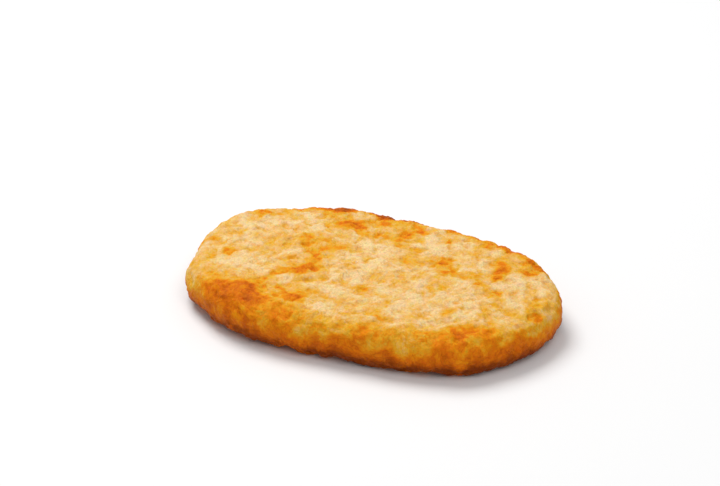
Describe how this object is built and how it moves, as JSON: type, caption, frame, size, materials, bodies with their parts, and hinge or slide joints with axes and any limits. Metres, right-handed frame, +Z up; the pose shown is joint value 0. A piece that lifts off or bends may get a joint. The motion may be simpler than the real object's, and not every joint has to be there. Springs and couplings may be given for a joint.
{
  "type": "hash brown",
  "caption": "Oval hash brown patty of shredded potato, pressed flat and fried to a rough golden crust, lying on its flat underside.",
  "frame": {"origin": "on the surface that the patty lies on, under the middle of its box", "axes": "+Z up through the patty's thickness, +X along its length towards the slightly narrower end, +Y across its width"},
  "size_m": [0.112, 0.071, 0.0138],
  "materials": {
    "crust": null
  },
  "bodies": {
    "root": {"hash_brown": "crust"}
  },
  "joints": []
}
